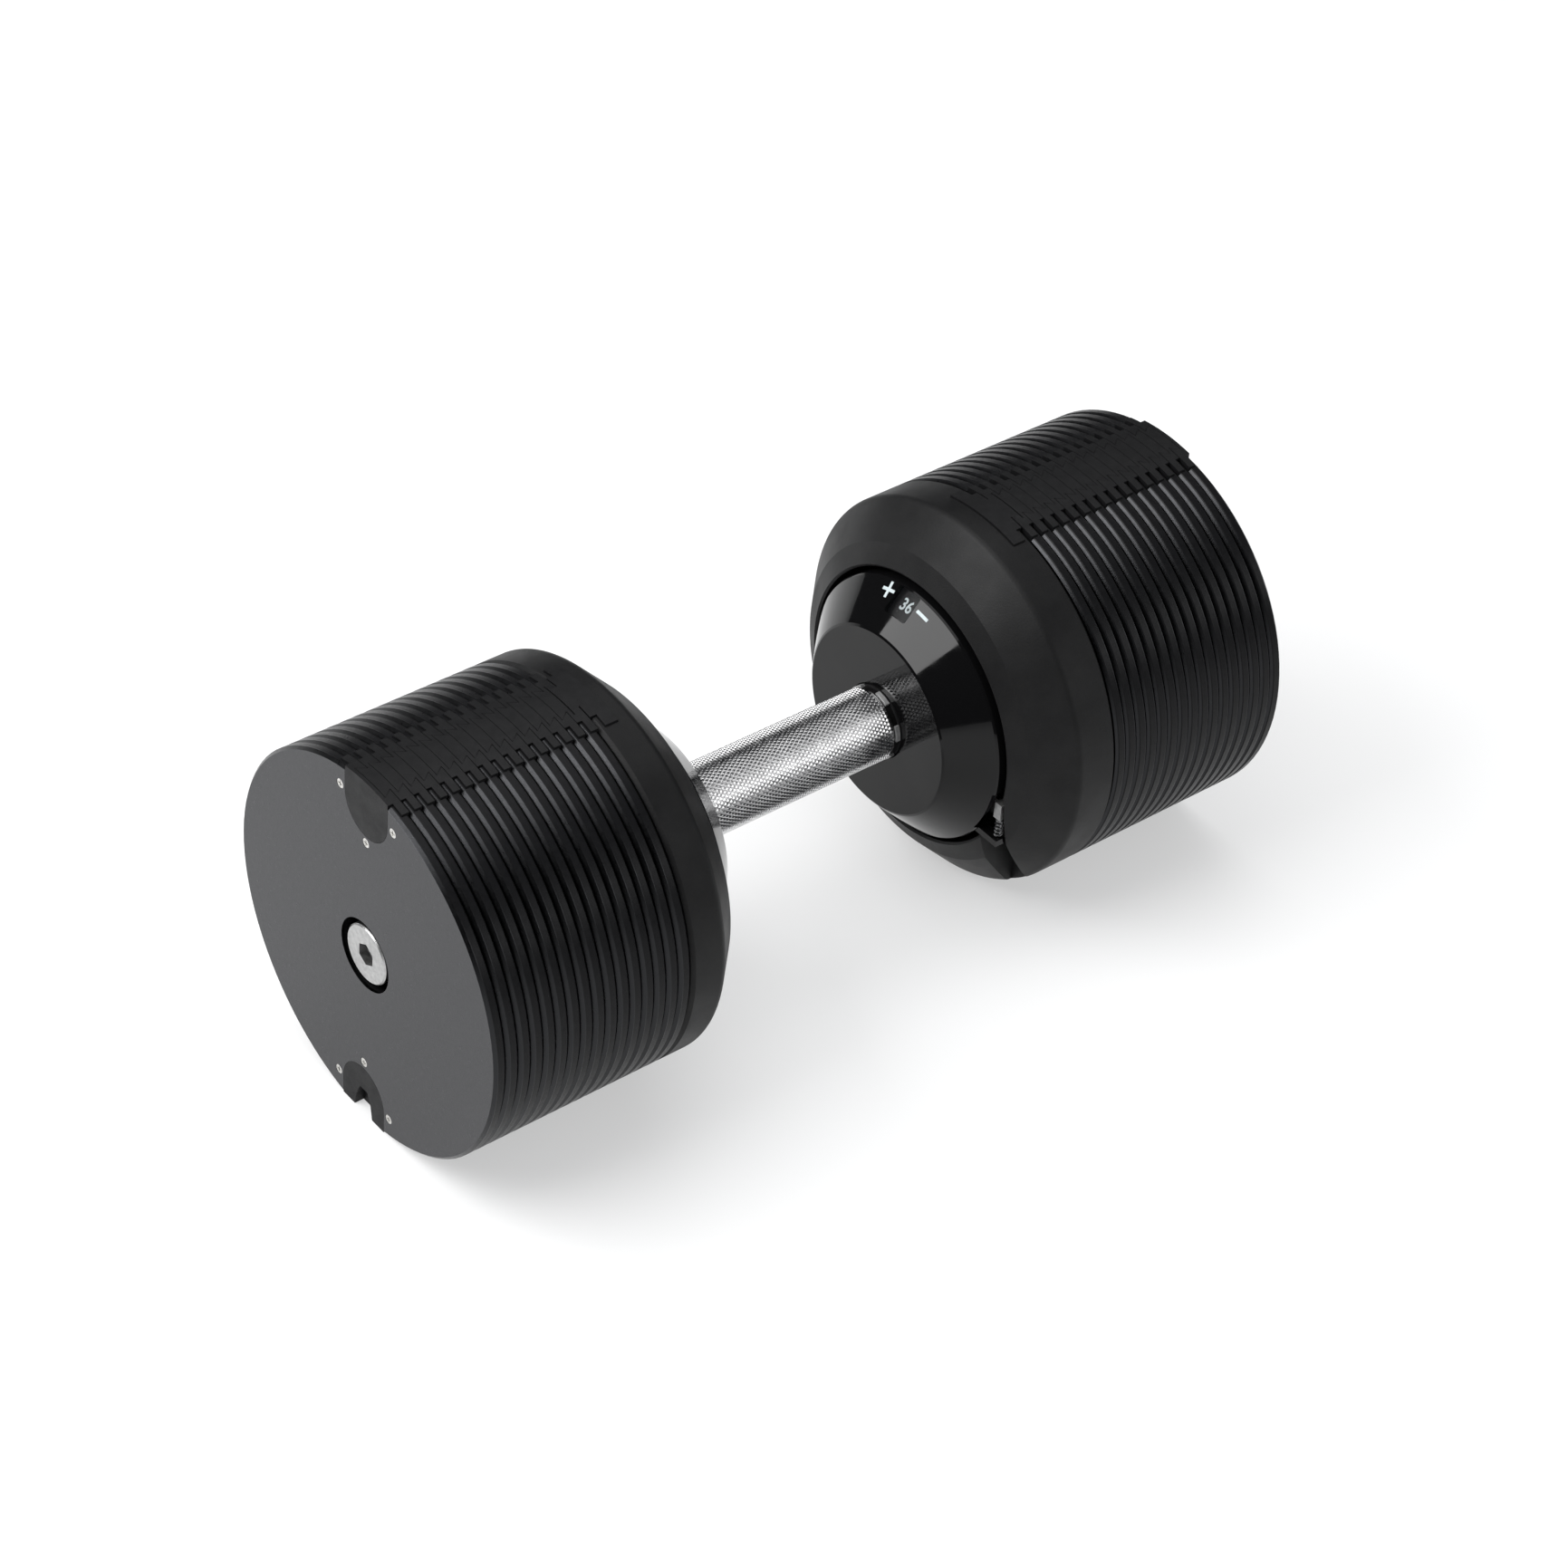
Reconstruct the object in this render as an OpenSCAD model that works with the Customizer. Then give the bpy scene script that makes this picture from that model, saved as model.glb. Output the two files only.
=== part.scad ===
// Twist-handle adjustable dumbbell, shown at its heaviest setting.
// The grip's axis lies along X, the bottom flats rest on Z = 0, and the origin is midway between the end faces.
// Everything is drawn about the grip's axis for the +X side, and the -X side is its mirror image.

/* [Plates] */
// Outside diameter of the thin plates and of the inner weights
plate_d = 172; // [160:1:184]
// Distance from one thin plate to the next
plate_pitch = 5.8; // [5.6:0.1:6.4]
// Gap between neighbouring thin plates
plate_gap = 0.3; // [0.2:0.05:0.4]
// Bevel on both rim edges of a thin plate
rim_bevel = 1.25; // [0.8:0.05:1.4]
// Diameter of the centre hole in the thin plates
plate_bore_d = 32; // [30:0.5:36]

/* [Inserts] */
// Width of a plastic insert where it shows on a plate's outer face
insert_w = 28; // [24:0.5:30]
// Width of the insert's flange, which the plate's steel covers
flange_w = 40; // [36:0.5:44]
// Thickness of that flange
flange_t = 3.2; // [2.8:0.1:3.4]
// Height of the insert arch's centre above the grip's axis
arch_z = 74.6; // [72:0.1:76]
// How far a top insert stands above the plate's rim
insert_proud = 0.9; // [0.4:0.1:1.2]
// Length of the dovetail tongue that enters the next plate
tongue_l = 4.0; // [3:0.1:4.2]
// Width of the tongue at its neck
tongue_neck_w = 14; // [12:0.5:15]
// Width of the tongue at its end
tongue_end_w = 20; // [18:0.5:21]

/* [Inner weights and hubs] */
// Overall length between the two end faces
total_l = 404.2; // [402:0.1:408]
// Diameter of the recess that holds a hub
recess_d = 123; // [121:0.5:128]
// Outside diameter of a hub cover
hub_d = 118; // [116:0.5:119]
// Diameter of the flat disc at the front of a hub cover
hub_disc_d = 86; // [80:0.5:88]
// Distance from the middle to the left hub cover's disc
hub_face_left = 58; // [56:0.5:60]
// Distance from the middle to the right hub cover's disc, which holds the dial
hub_face_right = 53; // [52:0.5:54]

/* [Grip and rods] */
// Diameter of the knurled grip
grip_d = 32.4; // [31:0.2:34]
// Outside diameter of the drive tube inside the grip
tube_d = 29.2; // [28.8:0.1:29.4]
// Inside diameter of the drive tube
tube_bore_d = 24.8; // [24.6:0.1:25]
// Diameter of a locking rod
rod_d = 23.6; // [23:0.1:23.8]
// Turn of the grip from one setting to the next, in degrees
click_angle = 20; // [20:1:20]

/* [Hidden] */
PLATES = 16;
function two_digits(k) = str(k < 10 ? "0" : "", k);
PAIR_NODES = [for (k = [1:PLATES]) str("plate_pair_", two_digits(k))];
SIDED = ["top_inserts", "bottom_inserts", "insert_screws", "inner_weight", "hub_cover", "hub_base",
    "bearing", "rod_guide", "rod", "rod_cap", "lock_wheel", "lock_lever", "pivot_pin", "lock_spring",
    "hub_screws", "end_clip", "end_collar"];
CENTRAL = ["grip_sleeve", "drive_tube", "drive_lugs", "key_bar", "dial_ring", "dial_window",
    "detent_plunger", "detent_spring"];
$fn = 96;

rim_r = plate_d / 2;
// Height of the grip's axis over the flats, which are a chord across the bottom of every disc
axis_z = rim_r - 1.6;
end_x = total_l / 2;
stack_x = end_x - PLATES * plate_pitch;
plate_bore_r = plate_bore_d / 2;
insert_r = insert_w / 2;
flange_r = flange_w / 2;
top_r = rim_r + insert_proud;
// Gap round a piece that is let into another piece of the same body
let_in = 0.15;
// Gap between a dovetail tongue and its recess
dovetail_gap = 0.25;
// Lowest point of the dovetail tongue
tongue_z = arch_z - 8;
// Circle of the three screws round an insert's arch
screw_pcd_r = 17.3;
screw_r = 1.1;
screw_head_r = 2;
screw_head_t = 1.2;

weight_x = stack_x - plate_gap;
weight_bevel = 1.5;
ring_r = 71;
recess_r = recess_d / 2;
web_x = 97;
base_x = 93;
guide_x0 = 100.4;
guide_x1 = 104.4;
guide_seat_r = 18;
lock_slot_y0 = -62.5;
lock_slot_y1 = -51.5;
lock_slot_top = -8;
lock_slot_x = 92;

hub_r = hub_d / 2;
hub_disc_r = hub_disc_d / 2;
cover_t = 2.5;
cover_hole_r = grip_d / 2 + 0.7;

tube_r = tube_d / 2;
tube_bore_r = tube_bore_d / 2;
fixed_r = tube_r + 0.05;
tube_x = 100;
grip_end_gap = 2.8;
bearing_r = 17.5;
bearing_x = 85;

travel = PLATES * plate_pitch;
rod_r = rod_d / 2;
rod_x0 = 93.8;
cap_t = 4;
cap_x1 = end_x - 0.5;
cap_x0 = cap_x1 - cap_t;
cap_r = 13;
rod_l = cap_x0 - rod_x0;
groove_w = 7;
groove_floor = 9.4;
twist_per_mm = PLATES * click_angle / travel;
lug_x = 97.3;
lug_r = 2.5;
keyway_w = 4.2;
keyway_z = 10.3;
hex_bar_r = 4.62;
hex_bore_r = 4.91;
hex_socket_r = 5.2;
key_bar_x = 106;

wheel_x0 = 79;
wheel_x1 = 83;
wheel_r = 27;
notch_r = 2.2;
notch_count = 360 / click_angle;
pivot_y = -34;
pivot_z = -31;
pivot_r = 2;
lever_x0 = 79.6;
lever_x1 = 82.6;
tab_y0 = -61.3;
tab_y1 = -57.3;
tab_z0 = -20;
tab_z1 = -12;
ledge_z = -30.5;
spring_wire = 0.45;

window_w = 13;
window_l = 12.5;
window_r = 54.1;
// The window sits a little off the top, towards the user's side
window_angle = -4;
detent_r = 2;
detent_x = 81;
hub_screw_pcd_r = 45;

// Helpers: a solid of revolution about X from [radius, x] points, a drum, and a prism along X from a Y-Z outline
module turned(points) rotate([0, 90, 0]) rotate_extrude() polygon(points);
module drum(r, x0, x1) rotate([0, 90, 0]) translate([0, 0, x0]) cylinder(r = r, h = x1 - x0);
module prism(x0, x1) translate([x0, 0, 0]) rotate([90, 0, 90]) linear_extrude(x1 - x0) children();
module on_axis() translate([0, 0, axis_z]) children();
module left_side() on_axis() mirror([1, 0, 0]) children();
module right_side() on_axis() children();
function arc(cr, cx, r, from, to, steps) =
    [for (i = [0:steps]) let (a = from + (to - from) * i / steps) [cr + r * cos(a), cx + r * sin(a)]];

// The part of space above the chord that the dumbbell rests on
module above_flat() translate([-300, -200, -axis_z]) cube([600, 400, 400]);

// Arch outline: straight sides up to the rim and a round end towards the axis
module arch(r) {
    translate([0, arch_z]) circle(r = r);
    translate([-r, arch_z]) square([2 * r, 30]);
}
module arch_up(r, x0, x1) prism(x0, x1) arch(r);
module arch_down(r, x0, x1) prism(x0, x1) mirror([0, 1]) arch(r);

function plate_x0(k) = stack_x + (k - 1) * plate_pitch + plate_gap;
function plate_x1(k) = stack_x + k * plate_pitch;

// The three screw places round each of a plate's two inserts, as [y, z]
SCREW_PLACES = [for (up = [1, -1]) for (a = [0, 180, 270]) [screw_pcd_r * cos(a), up * (arch_z + screw_pcd_r * sin(a))]];

module screw_hole(x1) turned([[0, x1 - 5], [screw_r + 0.1, x1 - 5], [screw_r + 0.1, x1 - screw_head_t - 0.1],
    [screw_head_r + 0.1, x1 - 0.1], [screw_head_r + 0.1, x1 + 1], [0, x1 + 1]]);

// Thin plate: a beveled steel disc with a pocket for each insert
module plate(k) {
    x0 = plate_x0(k);
    x1 = plate_x1(k);
    step = x0 + flange_t + let_in;
    color("dimgray") difference() {
        turned([[plate_bore_r, x0], [rim_r - rim_bevel, x0], [rim_r, x0 + rim_bevel], [rim_r, x1 - rim_bevel],
            [rim_r - rim_bevel, x1], [plate_bore_r, x1]]);
        arch_up(insert_r + let_in, x0 - 1, x1 + 1);
        arch_down(insert_r + let_in, x0 - 1, x1 + 1);
        arch_up(flange_r + let_in, x0 - 1, step);
        arch_down(flange_r + let_in, x0 - 1, step);
        for (p = SCREW_PLACES) translate([0, p[0], p[1]]) screw_hole(x1);
        translate([-300, -200, -axis_z - 100]) cube([600, 400, 100]);
    }
}
module plate_pair(k) {
    left_side() plate(k);
    right_side() plate(k);
}

// Dovetail tongue seen from above: narrow at its neck and wide at its end, grown by g for the recess
module dovetail(x, g) translate([0, 0, tongue_z - g]) linear_extrude(40)
    polygon([[x - 1, -tongue_neck_w / 2 - g], [x, -tongue_neck_w / 2 - g], [x + tongue_l + g, -tongue_end_w / 2 - g],
        [x + tongue_l + g, tongue_end_w / 2 + g], [x, tongue_neck_w / 2 + g], [x - 1, tongue_neck_w / 2 + g]]);

// Notch in a bottom insert, open downwards, shrunk by g for the tongue that enters it
module notch_outline(g) polygon([[-2.5 + g, -72 - g], [2.5 - g, -72 - g], [4.8 - g, -77.5], [7 - g, -rim_r - 4],
    [-7 + g, -rim_r - 4], [-4.8 + g, -77.5]]);

// Body of an insert: its face shows on the plate's outer side and its flange lies behind the steel
module insert_body(x0, x1, step) {
    arch_up(insert_r, x0, x1);
    arch_up(flange_r, x0, step);
}
module top_insert(x0, x1, step, has_recess, has_tongue) intersection() {
    difference() {
        union() {
            insert_body(x0, x1, step);
            if (has_tongue) dovetail(x1, 0);
        }
        if (has_recess) dovetail(x0 - plate_gap, dovetail_gap);
        for (p = SCREW_PLACES) if (p[1] > 0) translate([0, p[0], p[1]]) drum(screw_r + 0.05, x0 + 0.8, x1);
    }
    drum(top_r, x0 - 10, x1 + 10);
}
module top_inserts() color("darkslategray") {
    top_insert(weight_x - 9, weight_x, weight_x - 3, false, true);
    for (k = [1:PLATES]) top_insert(plate_x0(k), plate_x1(k), plate_x0(k) + flange_t, true, k < PLATES);
}
module bottom_insert(x0, x1, step, has_tongue) intersection() {
    difference() {
        union() {
            mirror([0, 0, 1]) insert_body(x0, x1, step);
            if (has_tongue) prism(x0 - plate_gap - tongue_l, x0 + 0.1) notch_outline(dovetail_gap);
        }
        prism(x1 - tongue_l - dovetail_gap, x1 + 1) notch_outline(0);
        for (p = SCREW_PLACES) if (p[1] < 0) translate([0, p[0], p[1]]) drum(screw_r + 0.05, x0 + 0.8, x1);
    }
    drum(rim_r, x0 - 10, x1 + 10);
    above_flat();
}
module bottom_inserts() color("darkslategray") {
    bottom_insert(weight_x - 9, weight_x, weight_x - 3, false);
    for (k = [1:PLATES]) bottom_insert(plate_x0(k), plate_x1(k), plate_x0(k) + flange_t, true);
}

// Countersunk screw with a cross recess, its head just below the plate's outer face
module insert_screw(x0, x1) difference() {
    turned([[0, x0 + 1], [screw_r, x0 + 1], [screw_r, x1 - screw_head_t], [screw_head_r, x1 - 0.1], [0, x1 - 0.1]]);
    translate([x1 - 0.7, -1.3, -0.22]) cube([1, 2.6, 0.44]);
    translate([x1 - 0.7, -0.22, -1.3]) cube([1, 0.44, 2.6]);
}
module insert_screws() color("silver")
    for (k = [1:PLATES]) for (p = SCREW_PLACES) translate([0, p[0], p[1]]) insert_screw(plate_x0(k), plate_x1(k));

// Inner weight: a thick cast disc, coned towards the grip, with the hub's recess and the lock slot
module inner_weight(shift) {
    rim_x = 74 - shift;
    cone_x = 79 - shift;
    edge_x = 93.5 - shift;
    corner_r = 4;
    color("#2b2b2d") difference() {
        turned(concat([[guide_seat_r, web_x], [guide_seat_r, guide_x1], [plate_bore_r, guide_x1],
            [plate_bore_r, weight_x], [rim_r - weight_bevel, weight_x], [rim_r, weight_x - weight_bevel]],
            arc(rim_r - corner_r, edge_x + corner_r * 0.4142, corner_r, 0, -45, 6),
            [[ring_r, cone_x], [recess_r + 1, rim_x + 0.5], [recess_r, rim_x + 1.2], [recess_r, web_x]]));
        arch_up(insert_r + let_in, weight_x - 9 - let_in, weight_x + 1);
        arch_down(insert_r + let_in, weight_x - 9 - let_in, weight_x + 1);
        arch_up(flange_r + let_in, weight_x - 9 - let_in, weight_x - 3 + let_in);
        arch_down(flange_r + let_in, weight_x - 9 - let_in, weight_x - 3 + let_in);
        translate([50, lock_slot_y0, -rim_r - 10])
            cube([lock_slot_x - 50, lock_slot_y1 - lock_slot_y0, rim_r + 10 + lock_slot_top]);
        for (a = [20:90:290]) rotate([a, 0, 0]) translate([0, 0, hub_screw_pcd_r]) drum(2, web_x - 1, 105);
        translate([-300, -200, -axis_z - 100]) cube([600, 400, 100]);
    }
}

// Hub cover: a coned shell in front of the mechanism; the right one has the dial's window
module hub_cover(face_x, cone_x, has_window) color("#151517") difference() {
    union() {
        turned([[cover_hole_r, face_x], [hub_disc_r - 1, face_x], [hub_disc_r, face_x + 0.6],
            [hub_r - 0.5, cone_x - 0.5], [hub_r, cone_x + 0.4], [hub_r, base_x], [hub_r - cover_t, base_x],
            [hub_r - cover_t, cone_x + 1], [hub_disc_r - 1, face_x + cover_t], [cover_hole_r, face_x + cover_t]]);
        translate([cone_x + 1, lock_slot_y0 + 1, ledge_z - 3]) cube([5, 13, 3]);
    }
    translate([cone_x - 1, -70, ledge_z + 0.3]) cube([base_x - cone_x, 23, -7.3 - ledge_z]);
    if (has_window) window_frame() translate([0, 0, -10]) linear_extrude(20) rounded(window_l, window_w, 1.2);
}
module window_frame() rotate([window_angle, 0, 0])
    translate([hub_face_right + window_r - hub_disc_r, 0, window_r]) rotate([0, -45, 0]) children();
module rounded(w, h, r) {
    square([w - 2 * r, h], center = true);
    square([w, h - 2 * r], center = true);
    for (i = [-1, 1]) for (j = [-1, 1]) translate([i * (w / 2 - r), j * (h / 2 - r)]) circle(r = r);
}
module dial_window() color([0.5, 0.55, 0.6, 0.4]) right_side()
    window_frame() translate([0, 0, -1.8]) linear_extrude(1.6) rounded(window_l - 0.2, window_w - 0.2, 1.1);

// Hub base: the plate behind the cover, with the bearing's boss and the lever's post
module hub_base(has_detent) color("#3a3a3c") difference() {
    union() {
        turned([[bearing_r, bearing_x], [bearing_r + 5.5, bearing_x], [bearing_r + 5.5, base_x],
            [recess_r - 0.5, base_x], [recess_r - 0.5, web_x], [bearing_r, web_x]]);
        translate([0, pivot_y, pivot_z]) drum(5, lever_x1 + 0.5, base_x + 1);
        if (has_detent) translate([detent_x - 4, -5, 31]) cube([base_x + 1 - detent_x + 4, 10, 14]);
    }
    translate([0, pivot_y, pivot_z]) drum(pivot_r + 0.02, lever_x1 - 1, web_x + 1);
    for (a = [20:90:290]) rotate([a, 0, 0]) translate([0, 0, hub_screw_pcd_r]) drum(2.2, base_x - 1, web_x + 1);
    if (has_detent) translate([detent_x, 0, 30]) cylinder(r = detent_r + 0.05, h = 14);
    translate([base_x - 1, lock_slot_y0 - 2, -rim_r]) cube([10, 8, rim_r + lock_slot_top]);
}
module hub_screws() color("#8a8a8c") for (a = [20:90:290]) rotate([a, 0, 0]) translate([0, 0, hub_screw_pcd_r])
    difference() {
        turned([[0, base_x - 2.6], [3.6, base_x - 2.6], [3.6, base_x], [1.95, base_x], [1.95, 104.5], [0, 104.5]]);
        drum(1.7, base_x - 3, base_x - 1, $fn = 6);
    }
module bearing() color("#b08d57") turned([[tube_r + 0.05, bearing_x - 1], [20, bearing_x - 1], [20, bearing_x],
    [bearing_r, bearing_x], [bearing_r, web_x], [tube_r + 0.05, web_x]]);

// Rod guide: a ring in the inner weight's web, with a key that stops the rod from turning
module rod_guide() color("#9a9a9c") {
    difference() {
        drum(guide_seat_r, guide_x0, guide_x1);
        drum(rod_r + 0.08, guide_x0 - 1, guide_x1 + 1);
    }
    translate([guide_x0, -keyway_w / 2 + 0.3, keyway_z + 0.3]) cube([guide_x1 - guide_x0, keyway_w - 0.6, 2]);
}

// Locking rod: twin steep helical grooves for the drive lugs, a straight keyway and a hexagonal bore
module rod() color("#c8c8ca") difference() {
    translate([rod_x0, 0, 0]) rotate([0, 90, 0]) rotate([0, 0, -(lug_x - rod_x0) * twist_per_mm])
        linear_extrude(rod_l, twist = -rod_l * twist_per_mm, slices = 30) difference() {
            circle(r = rod_r, $fn = 36);
            for (s = [1, -1]) translate([-groove_w / 2, s > 0 ? groove_floor : -groove_floor - 5])
                square([groove_w, 5]);
        }
    translate([rod_x0 - 1, -keyway_w / 2, keyway_z]) cube([rod_l + 2, keyway_w, 5]);
    rotate([0, 90, 0]) translate([0, 0, rod_x0 - 1]) cylinder(r = hex_bore_r, h = rod_l + 2, $fn = 6);
}
module rod_cap() color("#d8d8da") difference() {
    turned([[0, cap_x0], [cap_r, cap_x0], [cap_r, cap_x1 - 0.6], [cap_r - 0.6, cap_x1], [0, cap_x1]]);
    rotate([0, 90, 0]) translate([0, 0, cap_x0 - 1]) cylinder(r = hex_socket_r, h = cap_t + 2, $fn = 6);
}
module key_bar() color("#8f8f92") on_axis() rotate([0, 90, 0])
    cylinder(r = hex_bar_r, h = 2 * key_bar_x, center = true, $fn = 6);

// Turning parts: the grip, the tube inside it, and what the tube carries
module grip_sleeve() color("gainsboro") on_axis() {
    x0 = grip_end_gap - hub_face_left;
    x1 = hub_face_right - grip_end_gap;
    turned([[fixed_r, x0], [grip_d / 2 - 0.5, x0], [grip_d / 2, x0 + 0.5], [grip_d / 2, x1 - 0.5],
        [grip_d / 2 - 0.5, x1], [fixed_r, x1]]);
}
module drive_tube() color("#9d9da0") on_axis() difference() {
    drum(tube_r, -tube_x, tube_x);
    drum(tube_bore_r, -tube_x - 1, tube_x + 1);
    for (x = [-lug_x, lug_x]) translate([x, 0, 0]) rotate([90, 0, 0]) cylinder(r = lug_r + 0.02, h = 40, center = true);
}
module drive_lugs() color("#707074") on_axis() for (x = [-lug_x, lug_x]) for (s = [0, 180])
    translate([x, 0, 0]) rotate([s + 90, 0, 0]) translate([0, 0, groove_floor + 0.5])
        cylinder(r = lug_r, h = tube_r - groove_floor - 0.7);
module lock_wheel() color("#77777a") difference() {
    turned([[fixed_r, wheel_x0], [wheel_r, wheel_x0], [wheel_r, wheel_x1], [19, wheel_x1], [19, wheel_x1 + 0.8],
        [fixed_r, wheel_x1 + 0.8]]);
    for (i = [0:notch_count - 1]) rotate([i * click_angle, 0, 0]) translate([0, 0, wheel_r])
        drum(notch_r, wheel_x0 - 1, wheel_x1 + 1);
}
module dial_ring() {
    dial_x = hub_face_right + 7;
    color("#101012") right_side() turned([[fixed_r, dial_x], [45, dial_x], [56, dial_x + 11], [56, dial_x + 14],
        [44, dial_x + 2.5], [18, dial_x + 2.5], [18, dial_x + 6], [fixed_r, dial_x + 6]]);
}
module end_clip(face_x) color("lightgray") difference() {
    drum(grip_d / 2 + 0.2, face_x - 2.5, face_x - 0.5);
    drum(fixed_r, face_x - 3, face_x);
    difference() {
        drum(30, face_x - 3, face_x);
        drum(fixed_r + 0.6, face_x - 4, face_x + 1);
        for (a = [0:60:120]) rotate([a + 15, 0, 0]) translate([face_x - 4, -3.5, -20]) cube([6, 7, 40]);
    }
}
module end_collar(face_x) color("#1c1c1e") difference() {
    drum(grip_d / 2 - 0.1, face_x - 0.3, face_x + 4);
    drum(fixed_r, face_x - 1, face_x + 5);
}

// Lock lever: a cradle post lifts its tab, which drops its tooth out of the lock wheel
module lock_lever(cone_x) color("lightgray") difference() {
    union() {
        prism(lever_x0, lever_x1) polygon([[tab_y0, tab_z1], [tab_y1, tab_z1], [tab_y1 + 1.5, -17], [-38, -26.5],
            [-4, -29.8], [-1.5, -29.8], [-1.5, -27.6], [1.5, -27.6], [1.5, -29.8], [3, -30.5], [3, -33.5],
            [-30, -36], [-38, -35], [tab_y0, -21]]);
        translate([cone_x + 1.8, tab_y0, tab_z0]) cube([lever_x1 - cone_x - 1.8, tab_y1 - tab_y0, tab_z1 - tab_z0]);
    }
    translate([0, pivot_y, pivot_z]) drum(pivot_r + 0.05, lever_x0 - 1, lever_x1 + 1);
}
module pivot_pin() color("#a5a5a8") translate([0, pivot_y, pivot_z]) {
    drum(pivot_r, lever_x0 - 0.4, web_x - 0.5);
    drum(3.5, lever_x0 - 1.8, lever_x0 - 0.4);
}

// Coil spring along Z: one closed tube swept round a helix, with square ends
function coil_ring(c, r, wire, sides, turns, h, t) =
    let (a = 360 * turns * t) [for (j = [0:sides - 1]) let (b = 360 * j / sides)
        [c[0] + (r + wire * cos(b)) * cos(a), c[1] + (r + wire * cos(b)) * sin(a), c[2] + h * t + wire * sin(b)]];
module coil(c, r, wire, turns, h) {
    sides = 6;
    rings = turns * 10;
    points = [for (i = [0:rings]) each coil_ring(c, r, wire, sides, turns, h, i / rings)];
    walls = [for (i = [0:rings - 1]) for (j = [0:sides - 1])
        [i * sides + j, (i + 1) * sides + j, (i + 1) * sides + (j + 1) % sides, i * sides + (j + 1) % sides]];
    first = [for (j = [0:sides - 1]) j];
    last = [for (j = [0:sides - 1]) rings * sides + sides - 1 - j];
    polyhedron(points, concat(walls, [first], [last]));
}
module lock_spring(cone_x) color("silver")
    coil([cone_x + 4, (tab_y0 + tab_y1) / 2, ledge_z + spring_wire], 1.6, spring_wire, 5, tab_z0 - ledge_z - 2 * spring_wire);
module detent_plunger() color("silver") right_side() {
    translate([detent_x, 0, wheel_r + 0.4 + detent_r]) cylinder(r = detent_r, h = 7.6);
    translate([detent_x, 0, wheel_r + 0.4 + detent_r]) sphere(r = detent_r);
}
module detent_spring() color("silver") right_side()
    coil([detent_x, 0, 37.6 + 0.4], 1.4, 0.35, 5, 5.4);

// One side's pieces; shift and the face and cone places differ because the right hub holds the dial
module sided(part, is_right) {
    face_x = is_right ? hub_face_right : hub_face_left;
    cone_x = is_right ? hub_face_right + hub_r - hub_disc_r : 72;
    if (part == "top_inserts") top_inserts();
    if (part == "bottom_inserts") bottom_inserts();
    if (part == "insert_screws") insert_screws();
    if (part == "inner_weight") inner_weight(is_right ? 4 : 0);
    if (part == "hub_cover") hub_cover(face_x, cone_x, is_right);
    if (part == "hub_base") hub_base(is_right);
    if (part == "bearing") bearing();
    if (part == "rod_guide") rod_guide();
    if (part == "rod") rod();
    if (part == "rod_cap") rod_cap();
    if (part == "lock_wheel") lock_wheel();
    if (part == "lock_lever") lock_lever(cone_x);
    if (part == "pivot_pin") pivot_pin();
    if (part == "lock_spring") lock_spring(cone_x);
    if (part == "hub_screws") hub_screws();
    if (part == "end_clip") end_clip(face_x);
    if (part == "end_collar") end_collar(face_x);
}

for (k = [1:PLATES]) plate_pair(k);
for (part = SIDED) left_side() sided(part, false);
for (part = SIDED) right_side() sided(part, true);
grip_sleeve();
drive_tube();
drive_lugs();
key_bar();
dial_ring();
dial_window();
detent_plunger();
detent_spring();
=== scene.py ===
import math

import bmesh
import bpy
from mathutils import Matrix, Vector


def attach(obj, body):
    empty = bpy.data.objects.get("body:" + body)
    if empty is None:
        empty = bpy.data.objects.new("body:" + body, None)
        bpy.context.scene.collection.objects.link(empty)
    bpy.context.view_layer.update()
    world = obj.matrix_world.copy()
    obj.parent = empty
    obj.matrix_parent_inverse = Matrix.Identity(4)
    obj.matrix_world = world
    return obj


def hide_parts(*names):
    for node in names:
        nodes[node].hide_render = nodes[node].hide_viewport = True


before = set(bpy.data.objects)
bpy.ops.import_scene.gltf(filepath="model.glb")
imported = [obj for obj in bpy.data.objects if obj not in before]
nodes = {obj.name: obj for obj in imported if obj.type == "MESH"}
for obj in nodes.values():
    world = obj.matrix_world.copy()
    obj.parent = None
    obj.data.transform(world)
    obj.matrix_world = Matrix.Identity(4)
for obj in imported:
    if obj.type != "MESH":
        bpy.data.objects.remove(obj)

bpy.context.view_layer.update()

# Camera: a long lens above and in front of the left head, looking down the grip towards the dial.
# The whole view is rolled a little, so the dumbbell rises to the right.
GRIP_AXIS_Z = 0.0844
yaw, pitch, roll = math.radians(48.23), math.radians(40.184), math.radians(5.135)
look = Vector((math.cos(yaw) * math.cos(pitch), math.sin(yaw) * math.cos(pitch), -math.sin(pitch)))
level = look.cross(Vector((0, 0, 1))).normalized()
raised = level.cross(look)
view_x = math.cos(roll) * level + math.sin(roll) * raised
view_y = math.cos(roll) * raised - math.sin(roll) * level
camera = bpy.data.objects.new("camera", bpy.data.cameras.new("camera"))
camera.data.lens = 100.124
camera.data.sensor_width = 36.0
camera.data.clip_start = 0.05
camera.data.clip_end = 40.0
turn = Matrix((view_x, view_y, -look)).transposed().to_4x4()
place = 0.003294 * view_x - 0.007176 * view_y - 1.779665 * look + Vector((0, 0, GRIP_AXIS_Z))
camera.matrix_world = Matrix.Translation(place) @ turn
bpy.context.scene.collection.objects.link(camera)
bpy.context.scene.camera = camera

# Studio: a white floor and three soft boxes. One hangs overhead, one stands high beyond the left end, where the
# glossy hub mirrors it beside the dial, and a low strip at the front right lights a band on the grip.
# The room is white to the eye, lights matt surfaces softly, and is dark in reflections.
bpy.context.scene.view_settings.view_transform = "Standard"


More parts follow.
